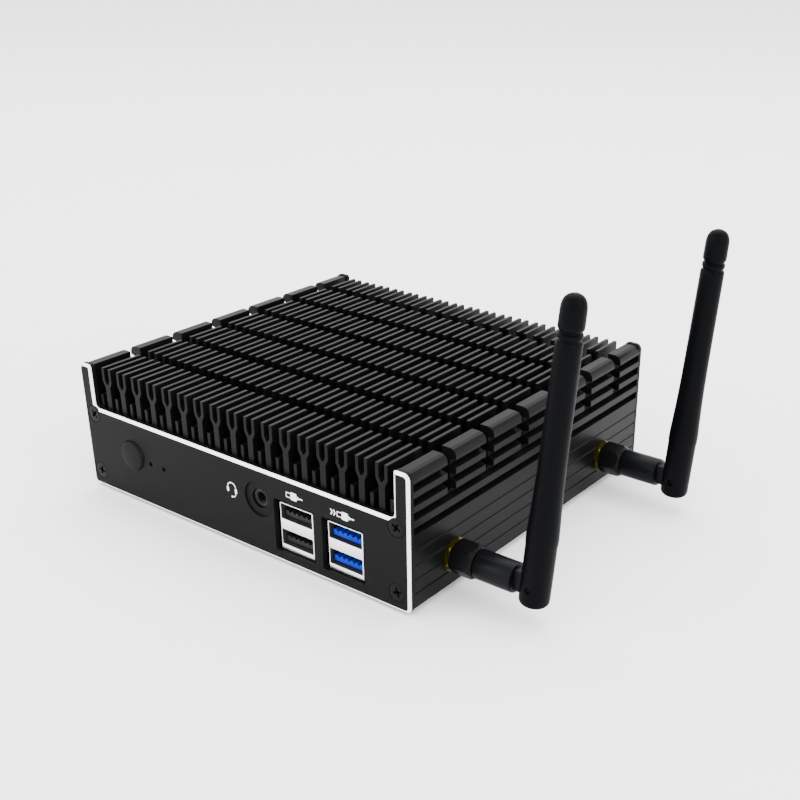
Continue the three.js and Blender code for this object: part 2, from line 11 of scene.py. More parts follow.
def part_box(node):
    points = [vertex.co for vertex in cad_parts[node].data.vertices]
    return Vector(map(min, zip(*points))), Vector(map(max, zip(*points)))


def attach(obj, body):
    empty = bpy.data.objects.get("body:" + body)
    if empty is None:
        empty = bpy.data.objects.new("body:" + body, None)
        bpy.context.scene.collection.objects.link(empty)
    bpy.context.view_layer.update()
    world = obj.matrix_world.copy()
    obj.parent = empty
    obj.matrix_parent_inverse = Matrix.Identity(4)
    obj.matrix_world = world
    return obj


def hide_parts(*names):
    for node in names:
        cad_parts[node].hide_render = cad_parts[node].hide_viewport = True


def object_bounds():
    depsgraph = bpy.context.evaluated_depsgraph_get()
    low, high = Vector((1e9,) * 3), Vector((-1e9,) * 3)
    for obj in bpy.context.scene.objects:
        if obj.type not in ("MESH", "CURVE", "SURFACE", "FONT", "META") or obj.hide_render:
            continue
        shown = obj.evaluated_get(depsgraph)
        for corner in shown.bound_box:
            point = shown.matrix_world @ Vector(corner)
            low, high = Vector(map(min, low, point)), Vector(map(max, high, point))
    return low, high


MM = 0.001

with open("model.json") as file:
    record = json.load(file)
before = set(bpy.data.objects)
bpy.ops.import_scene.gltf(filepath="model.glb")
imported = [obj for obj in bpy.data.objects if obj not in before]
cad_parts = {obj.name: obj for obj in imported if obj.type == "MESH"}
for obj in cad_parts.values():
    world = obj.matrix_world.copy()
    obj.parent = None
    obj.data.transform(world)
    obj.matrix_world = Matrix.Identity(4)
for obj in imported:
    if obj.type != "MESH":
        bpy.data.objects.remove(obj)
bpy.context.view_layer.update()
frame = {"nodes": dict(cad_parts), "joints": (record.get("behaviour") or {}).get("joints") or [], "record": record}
JOINTS = {joint["name"]: joint for joint in frame["joints"]}

# ---------------------------------------------------------------- mesh helpers


def new_object(name, mesh_edit):
    """Object around a closed mesh made by bmesh code; its faces are turned outwards."""
    bm = bmesh.new()
    mesh_edit(bm)
    bmesh.ops.recalc_face_normals(bm, faces=bm.faces)
    mesh = bpy.data.meshes.new(name)
    bm.to_mesh(mesh)
    bm.free()
    mesh.transform(Matrix.Scale(MM, 4))
    obj = bpy.data.objects.new(name, mesh)
    bpy.context.scene.collection.objects.link(obj)
    return obj


def rings_to_bmesh(bm, rings):
    """Closed skin through rings of equal length; a ring of one point closes an end."""
    made = [[bm.verts.new(p) for p in ring] for ring in rings]
    for a, b in zip(made, made[1:]):
        count = max(len(a), len(b))
        for i in range(count):
            j = (i + 1) % count
            corners = [a[i % len(a)], a[j % len(a)], b[j % len(b)], b[i % len(b)]]
            unique = list(dict.fromkeys(corners))
            if len(unique) > 2:
                bm.faces.new(unique)
    for end in (made[0], made[-1]):
        if len(end) > 2:
            bm.faces.new(end)


AXES = {
    "X": (Vector((0, 1, 0)), Vector((0, 0, 1)), Vector((1, 0, 0))),
    "Y": (Vector((0, 0, 1)), Vector((1, 0, 0)), Vector((0, 1, 0))),
    "Z": (Vector((1, 0, 0)), Vector((0, 1, 0)), Vector((0, 0, 1))),
}


def lathe(name, profile, axis="Z", centre=(0, 0, 0), segments=48):
    """Turned solid; the profile is a list of (radius, height) from one end of the axis to the other."""
    u, v, w = AXES[axis]
    c = Vector(centre)

    def edit(bm):
        rings = []
        for r, h in profile:
            if r < 1e-6:
                rings.append([c + w * h])
                continue
            turn = [2 * math.pi * i / segments for i in range(segments)]
            rings.append([c + u * r * math.cos(t) + v * r * math.sin(t) + w * h for t in turn])
        rings_to_bmesh(bm, rings)

    return new_object(name, edit)


def prism(name, outlines, axis, low, high, centre=(0, 0, 0)):
    """Straight solids over closed outlines, drawn along an axis. Y outlines are (x, z) pairs."""
    u, v, w = AXES[axis]
    if axis == "Y":
        u, v = v, u
    c = Vector(centre)

    def edit(bm):
        for outline in outlines:
            ends = [[c + u * a + v * b + w * h for a, b in outline] for h in (low, high)]
            rings_to_bmesh(bm, ends)

    return new_object(name, edit)


def block(name, x, y, z):
    return prism(name, [[(x[0], y[0]), (x[1], y[0]), (x[1], y[1]), (x[0], y[1])]], "Z", z[0], z[1])


def realise(obj):
    """Applies the object's modifiers to its mesh."""
    graph = bpy.context.evaluated_depsgraph_get()
    graph.update()
    mesh = bpy.data.meshes.new_from_object(obj.evaluated_get(graph))
    obj.modifiers.clear()
    obj.data = mesh
    return obj


def combine(obj, tools, operation):
    for tool in tools:
        modifier = obj.modifiers.new(operation, "BOOLEAN")
        modifier.operation = operation
        modifier.solver = "EXACT"
        modifier.object = tool
    realise(obj)
    for tool in tools:
        bpy.data.objects.remove(tool)
    return obj


def cut(obj, *tools):
    return combine(obj, tools, "DIFFERENCE")


def fuse(obj, *tools):
    return combine(obj, tools, "UNION")


def soften(obj, width, segments=2, angle=32, edge_slot=None, apply=True):
    """Rounds the sharp edges; edge_slot is the material slot that the rounded faces take."""
    bevel = obj.modifiers.new("edges", "BEVEL")
    bevel.width = width * MM
    bevel.segments = segments
    bevel.limit_method = "ANGLE"
    bevel.angle_limit = math.radians(angle)
    bevel.use_clamp_overlap = True
    bevel.harden_normals = False
    if edge_slot is not None:
        bevel.material = edge_slot
    return realise(obj) if apply else obj


def shade(obj, angle=35):
    obj.data.shade_smooth()
    obj.data.set_sharp_from_angle(angle=math.radians(angle))
    return obj


def arc(centre, radius, start, end, steps):
    """Points on a circle, angles in degrees."""
    turn = [math.radians(start + (end - start) * i / steps) for i in range(steps + 1)]
    return [(centre[0] + radius * math.cos(t), centre[1] + radius * math.sin(t)) for t in turn]


def rounded(x0, x1, z0, z1, radius, steps=5):
    """Counter-clockwise rectangle with round corners."""
    return (
        arc((x1 - radius, z0 + radius), radius, -90, 0, steps)
        + arc((x1 - radius, z1 - radius), radius, 0, 90, steps)
        + arc((x0 + radius, z1 - radius), radius, 90, 180, steps)
        + arc((x0 + radius, z0 + radius), radius, 180, 270, steps)
    )


def middle(node):
    low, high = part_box(node)
    return (low + high) / 2 / MM


def span(node, axis):
    low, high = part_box(node)
    return low[axis] / MM, high[axis] / MM


# ---------------------------------------------------------------- materials


BROAD_SCALE = 55
GLOSS_VARIATION = 0.06
BUMP_DEPTH = 0.00002


def surface(
    name, colour, roughness, metallic=0.0, variation=0.25, grain=1400, stretch=(1, 1, 1), bump=0.12, specular=0.5,
):
    """Procedural finish: broad variation of colour and gloss, and a fine grain that stretch makes into lines."""
    mat = bpy.data.materials.new(name)
    mat.use_nodes = True
    tree = mat.node_tree
    nodes, links = tree.nodes, tree.links
    shader = nodes["Principled BSDF"]
    shader.inputs["Metallic"].default_value = metallic
    shader.inputs["Specular IOR Level"].default_value = specular
    coords = nodes.new("ShaderNodeTexCoord")
    mapping = nodes.new("ShaderNodeMapping")
    mapping.inputs["Scale"].default_value = stretch
    links.new(coords.outputs["Object"], mapping.inputs["Vector"])

    broad = nodes.new("ShaderNodeTexNoise")
    broad.inputs["Scale"].default_value = BROAD_SCALE
    broad.inputs["Detail"].default_value = 4
    links.new(coords.outputs["Object"], broad.inputs["Vector"])

    fine = nodes.new("ShaderNodeTexNoise")
    fine.inputs["Scale"].default_value = grain
    fine.inputs["Detail"].default_value = 3
    links.new(mapping.outputs["Vector"], fine.inputs["Vector"])

    blend = nodes.new("ShaderNodeMath")
    blend.operation = "MULTIPLY_ADD"
    blend.inputs[1].default_value = 0.5
    half = nodes.new("ShaderNodeMath")
    half.operation = "MULTIPLY"
    half.inputs[1].default_value = 0.5
    links.new(fine.outputs["Fac"], half.inputs[0])
    links.new(broad.outputs["Fac"], blend.inputs[0])
    links.new(half.outputs[0], blend.inputs[2])

    ramp = nodes.new("ShaderNodeValToRGB")
    dark = [c * (1 - variation) for c in colour]
    bright = [min(1, c * (1 + variation)) for c in colour]
    ramp.color_ramp.elements[0].position = 0.35
    ramp.color_ramp.elements[0].color = (*dark, 1)
    ramp.color_ramp.elements[1].position = 0.65
    ramp.color_ramp.elements[1].color = (*bright, 1)
    links.new(blend.outputs[0], ramp.inputs["Fac"])
    links.new(ramp.outputs["Color"], shader.inputs["Base Color"])

    gloss = nodes.new("ShaderNodeMapRange")
    gloss.inputs["From Min"].default_value = 0.3
    gloss.inputs["From Max"].default_value = 0.7
    gloss.inputs["To Min"].default_value = roughness - GLOSS_VARIATION
    gloss.inputs["To Max"].default_value = roughness + GLOSS_VARIATION
    links.new(blend.outputs[0], gloss.inputs["Value"])
    links.new(gloss.outputs["Result"], shader.inputs["Roughness"])

    relief = nodes.new("ShaderNodeBump")
    relief.inputs["Strength"].default_value = bump
    relief.inputs["Distance"].default_value = BUMP_DEPTH
    links.new(fine.outputs["Fac"], relief.inputs["Height"])
    links.new(relief.outputs["Normal"], shader.inputs["Normal"])
    return mat


DRAWN_LINES = (1, 0.03, 1)
ROLLED = (1, 0.1, 1)

FINISHES = {
    # extruded, so its fine lines run along Y
    "anodised": dict(
        colour=(0.0026, 0.0027, 0.003), roughness=0.38, grain=2600, stretch=DRAWN_LINES, bump=0.25, specular=0.055),
    "plate_face": dict(
        colour=(0.0038, 0.0039, 0.0042), roughness=0.5, variation=0.2, grain=5200, bump=0.35, specular=0.04),
    "cut_edge": dict(
        colour=(0.95, 0.95, 0.955), roughness=0.35, metallic=0.3, variation=0.03, grain=3000, bump=0.08),
    "black_steel": dict(colour=(0.003, 0.003, 0.0034), roughness=0.35, grain=3000, specular=0.05),
    # a lighter, glossier copy of black_steel for rounded edges: painted highlight
    "steel_edge_painted_highlight": dict(colour=(0.008, 0.008, 0.009), roughness=0.35, metallic=0.2, grain=3000, specular=0.15),
    "rubber": dict(colour=(0.012, 0.012, 0.012), roughness=0.8, grain=2400, bump=0.3, specular=0.15),
    "antenna": dict(
        colour=(0.0014, 0.0015, 0.002), roughness=0.42, variation=0.15, grain=4200, bump=0.2, specular=0.025),
    "barrel": dict(
        colour=(0.0026, 0.0028, 0.0036), roughness=0.34, variation=0.15, grain=4200, bump=0.2, specular=0.06),
    "black_plastic": dict(colour=(0.006, 0.006, 0.0065), roughness=0.45, grain=3600, bump=0.2, specular=0.15),
    "blue_plastic": dict(
        colour=(0.0003, 0.012, 0.22), roughness=0.4, variation=0.12, grain=3600, bump=0.15, specular=0.06),
    # a lighter copy of blue_plastic on the faces at the socket's mouth, so the blue is darker deeper in: painted
    # light and shade
    "blue_painted_lit": dict(
        colour=(0.0003, 0.017, 0.3), roughness=0.35, variation=0.1, grain=3600, bump=0.1, specular=0.06),
    "nickel": dict(
        colour=(0.85, 0.85, 0.84), roughness=0.3, metallic=1.0, variation=0.06, grain=3200, stretch=ROLLED),
    # a dark copy of nickel for faces deep inside sockets and for the audio contact: painted shade
    "nickel_painted_shade": dict(
        colour=(0.02, 0.02, 0.02), roughness=0.45, metallic=0.4, variation=0.1, grain=3200, stretch=ROLLED),
    # gilding darkened far below its real colour: painted shade on the nut, washer and contacts
    "gold_painted_shade": dict(colour=(0.075, 0.066, 0.006), roughness=0.34, metallic=1.0, variation=0.15, grain=3000),
    "copper": dict(
        colour=(0.72, 0.34, 0.19), roughness=0.35, metallic=1.0, variation=0.12, grain=2600, stretch=(0.05, 1, 1)),
    "board": dict(colour=(0.012, 0.1, 0.045), roughness=0.4, variation=0.35, grain=900, bump=0.3),
    # near-black so the lights' holes read dark: painted shade
    "light_pipe": dict(colour=(0.006, 0.006, 0.007), roughness=0.25, variation=0.1, specular=0.1),
    "print": dict(colour=(0.82, 0.82, 0.82), roughness=0.55, variation=0.05, grain=4000, bump=0.1),
}
LOOKS = {name: surface(name, **finish) for name, finish in FINISHES.items()}

SLOT_LOOK = {
    "black_anodised": "anodised",
    "end_plate_black": "plate_face",
    "black_steel": "black_steel",
    "foot_rubber": "rubber",
    "antenna_plastic": "antenna",
    "black_plastic": "black_plastic",
    "blue_plastic": "blue_plastic",
    "nickel": "nickel",
    "gold_plate": "gold_painted_shade",
    "circuit_board": "board",
    "copper": "copper",
    "light_pipe": "light_pipe",
}


def paint(obj, *looks):
    obj.data.materials.clear()
    for look in looks:
        obj.data.materials.append(LOOKS[look])
    return obj


def piece(obj, body, slot, *nodes):
    """Puts a finished piece on its body and hides the CAD nodes that it replaces."""
    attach(obj, body)
    if nodes:
        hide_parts(*nodes)
    return obj


# Every CAD node starts with its slot's finish.
for entry in frame["record"]["subparts"]:
    node = frame["nodes"][entry["node"]]
    look = SLOT_LOOK[entry["material_slot"]]
    for slot in node.material_slots:
        slot.material = LOOKS[look]


def soften_cad(name, width, segments=2):
    """Welds the CAD mesh, joins its flat faces and rounds its edges, all by modifiers."""
    node = frame["nodes"][name]
    weld = node.modifiers.new("weld", "WELD")
    weld.merge_threshold = 0.002 * MM
    flatten = node.modifiers.new("flatten", "DECIMATE")
    flatten.decimate_type = "DISSOLVE"
    flatten.angle_limit = math.radians(0.5)
    soften(node, width, segments, apply=False)
    return node


# ---------------------------------------------------------------- end plates

FACE_SET_BACK = 0.02
PLATE_CHAMFER = 0.9
CHAMFER_DEPTH = 0.6
EAR_WIDTH = 5.53
NOTCH_RISE = 28.8


def plate_ring(inset, y, box):
    """Plate outline moved inwards by inset: ears at both sides and a notch between them."""
    (x0, x1), (z0, z1) = box
    corners = [
        (x1 - 2, z0 + 2, 2 - inset, -90, 0),
        (x1 - 2, z1 - 2, 2 - inset, 0, 90),
        (x1 - EAR_WIDTH + 1, z1 - 1, 1 - inset, 90, 180),
        (x1 - EAR_WIDTH - 1.6, z0 + NOTCH_RISE + 1.6, 1.6 + inset, 0, -90),
    ]
    right = []
    for cx, cz, r, start, end in corners:
        right += [Vector((x, y, z)) for x, z in arc((cx, cz), r, start, end, 8)]
    return right + [Vector((x0 + x1 - p.x, p.y, p.z)) for p in reversed(right)]


def end_plate(name, node, out, tools):
    """out is -1 for the front plate and 1 for the rear; its chamfered edges are bright cut metal."""
    near, far = span(node, 1)[::out]
    face = far - out * FACE_SET_BACK
    box = (span(node, 0), span(node, 2))

    def edit(bm):
        rings = [
            plate_ring(PLATE_CHAMFER, face, box),
            plate_ring(0, far - out * CHAMFER_DEPTH, box),
            plate_ring(0, near, box),
        ]
        rings_to_bmesh(bm, rings)

    plate = new_object(name, edit)
    paint(plate, "plate_face", "cut_edge")
    for polygon in plate.data.polygons:
        leaning = 0.5 < abs(polygon.normal.y) < 0.95
        polygon.material_index = 1 if leaning else 0
    cut(plate, *tools)
    shade(plate, 25)
    return piece(plate, "case", "end_plate_black", node)


def hole(x, z, radius, y0, y1, segments=40):
    return lathe("hole", [(0, y0), (radius, y0), (radius, y1), (0, y1)], "Y", (x, 0, z), segments)


SCREW_HEAD = 2.9
SCREW_SHANK = 1.5
THREAD_PITCH = 0.5
THREAD_TURNS = 13
COVER_SCREW_SCALE = 0.66


def countersink(x, z, face, inward):
    """Conical seat, its wide end at the plate's face."""
    profile = [(0, -1), (SCREW_HEAD + 0.13, -1), (SCREW_HEAD + 0.13, 0.12), (SCREW_SHANK + 0.1, 1.65),
               (SCREW_SHANK + 0.1, 4), (0, 4)]
    profile = [(r, face + inward * h) for r, h in profile]
    return lathe("seat", profile if inward > 0 else profile[::-1], "Y", (x, 0, z), 40)


def screw_tools(side, face, inward):
    return [countersink(middle(f"{side}_screw_{i}").x, middle(f"{side}_screw_{i}").z, face, inward)
            for i in range(1, 5)]


FRONT = span("front_plate", 1)[0]
REAR = span("rear_plate", 1)[1]
BUTTON = middle("power_button")
JACK = middle("headphone_jack")
BUTTON_HOLE = 5.15
LIGHT_HOLE = 0.8
JACK_HOLE = 3.12
JACK_RECESS = 5.85
INLET_HOLE = 4.2
PORT_GAP = 0.3
USB_CUTOUT = (8, 0.4, 1.4)

tools = screw_tools("front", FRONT + FACE_SET_BACK, 1)
tools.append(hole(BUTTON.x, BUTTON.z, BUTTON_HOLE, FRONT - 1, FRONT + 3, 72))
for i in (1, 2):
    pipe = middle(f"light_pipe_{i}")
    tools.append(hole(pipe.x, span(f"light_pipe_{i}", 2)[0] + 0.7, LIGHT_HOLE, FRONT - 1, FRONT + 3, 24))
jack_z = span("headphone_jack", 2)[0] + 2.97
tools.append(hole(JACK.x, jack_z, JACK_RECESS, FRONT - 1, FRONT + 0.55, 64))
tools.append(hole(JACK.x, jack_z, JACK_HOLE, FRONT - 1, FRONT + 3, 48))
half, below, above = USB_CUTOUT
for kind in ("usb2", "usb3"):
    x = middle(f"{kind}_shell").x
    low, high = span(f"{kind}_shell", 2)
    outline = rounded(x - half, x + half, low - below, high + above, 0.8)
    tools.append(prism("cutout", [outline], "Y", FRONT - 1, FRONT + 3))
end_plate("front_plate_face", "front_plate", -1, tools)

tools = screw_tools("rear", REAR - FACE_SET_BACK, -1)
for node in ("network_port", "display_port"):
    (x0, x1), (z0, z1) = span(node, 0), span(node, 2)
    outline = rounded(x0 - PORT_GAP, x1 + PORT_GAP, z0 - PORT_GAP, z1 + PORT_GAP, 0.5)
    tools.append(prism("cutout", [outline], "Y", REAR - 3, REAR + 1))
inlet = middle("power_inlet")
tools.append(hole(inlet.x, inlet.z, INLET_HOLE, REAR - 3, REAR + 1, 48))
end_plate("rear_plate_face", "rear_plate", 1, tools)

# ---------------------------------------------------------------- screws


def screw_master():
    """Countersunk screw along +Y with a cross recess; its head face is at y = 0."""
    head = [(0, 0), (SCREW_HEAD - 0.15, 0), (SCREW_HEAD, 0.12), (SCREW_HEAD, 0.25), (SCREW_SHANK, 1.6)]
    thread = []
    for i in range(THREAD_TURNS):
        h = 1.8 + i * THREAD_PITCH
        thread += [(SCREW_SHANK, h), (SCREW_SHANK - 0.2, h + THREAD_PITCH / 2)]
    screw = lathe("screw", head + thread + [(SCREW_SHANK - 0.5, 8.7), (0, 8.7)], "Y", segments=40)
    arms = []
    for turn in (0, 90):
        outline = [(-1.55, -0.32), (1.55, -0.32), (1.55, 0.32), (-1.55, 0.32)]
        arm = prism("arm", [outline], "Y", -1, 1.1)
        arm.data.transform(Matrix.Rotation(math.radians(turn), 4, "Y"))
        arms.append(arm)
    tip = lathe("tip", [(0, -1), (0.85, -1), (0.62, 0.9), (0, 1.5)], "Y", segments=20)
    cut(screw, *arms, tip)
    # the rounded edges take a lighter, glossier copy of the black steel: painted highlight
    paint(screw, "black_steel", "steel_edge_painted_highlight")
    soften(screw, 0.05, 1, edge_slot=1)
    return shade(screw)


MASTER = screw_master()
PLACED = [("front", i, Matrix.Identity(4)) for i in range(1, 5)]
PLACED += [("rear", i, Matrix.Rotation(math.pi, 4, "Z")) for i in range(1, 5)]
PLACED += [("cover", i, Matrix.Rotation(math.pi / 2, 4, "X")) for i in range(1, 5)]
RECESS_TURNS = (12, 47, 71, 28, 63, 5, 38, 80, 20, 55, 33, 74)
for (side, i, facing), turn in zip(PLACED, RECESS_TURNS):
    node = f"{side}_screw_{i}"
    low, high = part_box(node)
    at = (low + high) / 2
    if side == "front":
        at.y = low.y
    elif side == "rear":
        at.y = high.y
    else:
        at.z = low.z
    screw = MASTER.copy()
    screw.data = MASTER.data.copy()
    screw.name = f"{side}_cross_screw_{i}"
    bpy.context.scene.collection.objects.link(screw)
    shorten = Matrix.Scale(COVER_SCREW_SCALE, 4, (0, 1, 0)) if side == "cover" else Matrix.Identity(4)
    screw.data.transform(Matrix.Translation(at) @ facing @ Matrix.Rotation(math.radians(turn), 4, "Y") @ shorten)
    piece(screw, "case", "black_steel", node)
bpy.data.objects.remove(MASTER)

# ---------------------------------------------------------------- button, lights, audio socket

y0, y1 = span("power_button", 1)
flange = y1 - 2.25
button = lathe("power_button_cap", [
    (0, y0), (4.55, y0), (4.78, y0 + 0.06), (4.91, y0 + 0.18), (4.95, y0 + 0.35), (4.95, flange), (5.85, flange),
    (5.85, flange + 0.7), (1.5, flange + 0.7), (1.5, y1), (0, y1)], "Y", (BUTTON.x, 0, BUTTON.z), 96)
paint(button, "plate_face", "black_plastic")
for polygon in button.data.polygons:
    polygon.material_index = 1 if polygon.center.y > (y0 + 0.2) * MM else 0
shade(button, 30)
piece(button, "button", "end_plate_black", "power_button")

nose = lathe("headphone_socket", [
    (0, FRONT + 1.2), (2.82, FRONT + 1.2), (2.97, FRONT + 1.35), (2.97, FRONT + 3.6), (0, FRONT + 3.6)],
    "Y", (JACK.x, 0, jack_z), 48)
body = prism(
    "body", [rounded(JACK.x - 3.2, JACK.x + 3.2, jack_z - 2.5, jack_z + 2.5, 0.4)], "Y", FRONT + 3, FRONT + 14)
flange = block("flange", (JACK.x - 5.2, JACK.x + 5.2), (FRONT + 6, FRONT + 11), (jack_z + 0.1, jack_z + 1.1))
fuse(nose, body, flange)
cut(nose, lathe("bore", [(0, FRONT), (2.1, FRONT + 1.1), (1.8, FRONT + 1.5), (1.8, FRONT + 12.5), (0, FRONT + 12.5)],
                "Y", (JACK.x, 0, jack_z), 40))
paint(nose, "black_plastic")
shade(nose, 30)
piece(nose, "case", "black_plastic", "headphone_jack")
leaf = prism("headphone_contact", [[(-0.6, 0), (0.6, 0), (0.6, 0.18), (-0.6, 0.18)]], "Y", FRONT + 2, FRONT + 9,
             (JACK.x, 0, jack_z - 1.75))
# the contact takes the dark copy of nickel: painted shade
paint(leaf, "nickel_painted_shade")
soften(leaf, 0.05, 1)
piece(leaf, "case", "nickel")

# ---------------------------------------------------------------- USB sockets


def contact_row(name, xs, half, z, y, slope=0):
    """Row of gilded strips about each of xs, darkened as painted shade; slope is their fall per unit of depth from
    the rear.
    """
    strips = [[(x - half, z[0]), (x + half, z[0]), (x + half, z[1]), (x - half, z[1])] for x in xs]
    row = prism(name, strips, "Y", *y)
    for vertex in row.data.vertices:
        vertex.co.z -= slope * (y[1] * MM - vertex.co.y)
    paint(row, "gold_painted_shade")
    return piece(row, "case", "gold_plate")


def usb_socket(kind, look, lit_front_look):
    shell_node, insert_node = f"{kind}_shell", f"{kind}_insert"
    (x0, x1), (y0, y1), (z0, z1) = (span(shell_node, axis) for axis in range(3))
    ports = [(z0 + 1.7, z0 + 6.8), (z1 - 5.35, z1 - 0.25)]
    shell = prism("usb", [rounded(x0, x1, z0, z1, 0.5)], "Y", y0, y1)
    shell.name = f"{kind}_can"
    mouths = [prism("mouth", [rounded(x0 + 0.35, x1 - 0.35, a, b, 0.35)], "Y", y0 - 1, y1 - 4) for a, b in ports]
    cut(shell, *mouths, block("chamber", (x0 + 0.35, x1 - 0.35), (y1 - 4.05, y1 - 0.4), (z0 + 0.4, z1 - 0.25)))
    # faces inside the shell walls take the dark copy of nickel: painted shade
    paint(shell, "nickel", "nickel_painted_shade")
    soften(shell, 0.09, 2)
    for polygon in shell.data.polygons:
        x, y, z = polygon.center / MM
        walled = min(x - x0, x1 - x, z - z0, z1 - z) > 0.2
        polygon.material_index = 1 if walled and y > y0 + 0.12 else 0
    shade(shell)
    piece(shell, "case", "nickel", shell_node)

    insert = block("insert", (x0 + 0.45, x1 - 0.45), (y1 - 3.9, y1 - 0.45), (z0 + 0.5, z1 - 0.35))
    insert.name = f"{kind}_moulding"
    cx = (x0 + x1) / 2
    tongues = []
    for a, b in ports:
        outline = rounded(cx - 5.6, cx + 5.6, a + 0.6, a + 2.5, 0.25)
        tongues.append(prism("tongue", [outline], "Y", y0 + 1.2, y1 - 3))
    fuse(insert, *tongues)
    grooves = [
        block("groove", (cx + i * 1.9 - 0.4, cx + i * 1.9 + 0.4), (y0 + 1, y0 + 4.5), (a + 1.9, a + 3))
        for a, b in ports for i in (-2, -1, 0, 1, 2)]
    cut(insert, *grooves)
    paint(insert, look, lit_front_look)
    soften(insert, 0.1, 2)
    # faces near the mouth take the lighter look; for the blue insert that copy is painted light, and the darker blue
    # deeper in is painted shade
    for polygon in insert.data.polygons:
        near = polygon.center.y < (y0 + 1.5) * MM
        polygon.material_index = 1 if near else 0
    shade(insert)
    piece(insert, "case", "black_plastic" if kind == "usb2" else "blue_plastic", insert_node)

    for level, (a, b) in zip(("lower", "upper"), ports):
        contact_row(f"{kind}_{level}_contacts", [cx + (i - 1.5) * 2.5 for i in range(4)], 0.5,
                    (a + 2.5, a + 2.68), (y0 + 4.6, y1 - 4.2))
        for side, z, sign in (("bottom", a, 1), ("top", b, -1)):
            springs = []
            for x in (cx - 3, cx + 3):
                springs.append([
                    (x - 0.9, z + sign * 0.02), (x + 0.9, z + sign * 0.02),
                    (x + 0.9, z + sign * 0.2), (x - 0.9, z + sign * 0.2)])
            tabs = prism(f"{kind}_{level}_{side}_springs", springs, "Y", y0 + 2, y0 + 7.5)
            for vertex in tabs.data.vertices:
                depth = (vertex.co.y / MM - y0 - 2) / 5.5
                vertex.co.z += sign * 0.35 * (1 - depth) * MM
            paint(tabs, "nickel")
            piece(tabs, "case", "nickel")


usb_socket("usb2", "black_plastic", "black_plastic")
usb_socket("usb3", "blue_plastic", "blue_painted_lit")

# ---------------------------------------------------------------- rear sockets


def rear_can(name, node, mouth, depth):
    """Nickel shell of a rear socket with the given mouth, painted darker inside it as shade."""
    (x0, x1), (y0, y1), (z0, z1) = (span(node, axis) for axis in range(3))
    can = block(name, (x0, x1), (y0, y1), (z0, z1))
    cut(can, prism("mouth", [mouth], "Y", y1 - depth, y1 + 1))
    paint(can, "nickel", "nickel_painted_shade")
    soften(can, 0.12, 2)
    for polygon in can.data.polygons:
        x, y, z = polygon.center / MM
        deep = min(x - x0, x1 - x, z - z0, z1 - z) > 0.3 and y < y1 - 0.15
        polygon.material_index = 1 if deep else 0
    shade(can)
    piece(can, "case", "nickel", node)


def network_socket():
    (x0, x1), (y0, y1), (z0, z1) = (span("network_port", axis) for axis in range(3))
    cx, sill, lintel = (x0 + x1) / 2, z0 + 3, z1 - 2.5
    rear_can("network_can", "network_port", rounded(cx - 6, cx + 6, sill, lintel, 0.3), 14)
    insert = block("insert", (cx - 5.95, cx + 5.95), (y1 - 13.9, y1 - 0.35), (sill + 0.05, lintel - 0.05))
    steps = [(1.7, 0.5), (1.7, 1.5), (3.1, 1.5), (3.1, 2.6), (5.3, 2.6), (5.3, 7.6)]
    keyed = [(cx + x, sill + z) for x, z in steps] + [(cx - x, sill + z) for x, z in reversed(steps)]
    cut(insert, prism("keyed", [keyed], "Y", y1 - 12, y1 + 1))
    insert.name = "network_moulding"
    paint(insert, "black_plastic")
    soften(insert, 0.1, 2)
    piece(shade(insert), "case", "black_plastic")
    contact_row("network_contacts", [cx + (i - 3.5) * 1.02 for i in range(8)], 0.2,
                (lintel - 0.85, lintel - 0.6), (y1 - 10, y1 - 1.6), slope=0.3)


def display_socket():
    (x0, x1), (y0, y1), (z0, z1) = (span("display_port", axis) for axis in range(3))
    mouth = [
        (x0 + 2.3, z0 + 0.6), (x1 - 2.3, z0 + 0.6), (x1 - 0.6, z0 + 2.3), (x1 - 0.6, z1 - 0.6), (x0 + 0.6, z1 - 0.6),
        (x0 + 0.6, z0 + 2.3)]
    rear_can("display_can", "display_port", mouth, 9)
    insert = block("insert", (x0 + 2, x1 - 2), (y1 - 7, y1 - 1.4), (z0 + 2.4, z0 + 3.6))
    fuse(insert, block("back", (x0 + 1, x1 - 1), (y1 - 8.9, y1 - 6.5), (z0 + 2.1, z1 - 0.8)))
    insert.name = "display_moulding"
    paint(insert, "black_plastic")
    soften(insert, 0.1, 2)
    piece(shade(insert), "case", "black_plastic")
    contact_row("display_contacts", [(x0 + x1) / 2 + i - 4.5 for i in range(10)], 0.22,
                (z0 + 3.55, z0 + 3.7), (y1 - 6.4, y1 - 1.8))


network_socket()
display_socket()
inlet_pin = lathe(
    "inlet_pin", [(0, -10), (1, -10), (1, -2.6), (0.86, -2.1), (0.5, -1.7), (0, -1.6)], "Y",
    (inlet.x, REAR, span("power_inlet", 2)[0] + 5.5), 24)
paint(inlet_pin, "nickel")
piece(shade(inlet_pin), "case", "nickel")

# ---------------------------------------------------------------- printed symbols


def symbol(name, outlines):
    mark = prism(name, outlines, "Y", FRONT + 0.002, FRONT + 0.06)
    paint(mark, "print")
    return piece(mark, "case", "end_plate_black")


def band(centre, inner, outer, start, end, steps=16):
    return arc(centre, outer, start, end, steps) + arc(centre, inner, end, start, steps)


def shifted(outline, x, z, turn=0):
    c, s = math.cos(math.radians(turn)), math.sin(math.radians(turn))
    return [(x + a * c - b * s, z + a * s + b * c) for a, b in outline]


HEADSET = (JACK.x - 11.45, jack_z + 0.25)
cx, cz = HEADSET
symbol("headset_symbol", [
    band(HEADSET, 1.55, 1.9, 12, 168),
    shifted(rounded(-0.42, 0.42, -0.85, 0.85, 0.3), cx - 1.72, cz - 0.75),
    shifted(rounded(-0.42, 0.42, -0.85, 0.85, 0.3), cx + 1.72, cz - 0.75),
    band((cx + 0.2, cz - 1.6), 1.25, 1.5, -82, -10),
    shifted(rounded(-0.4, 0.4, -0.3, 0.3, 0.25), cx + 0.05, cz - 2.98),
])


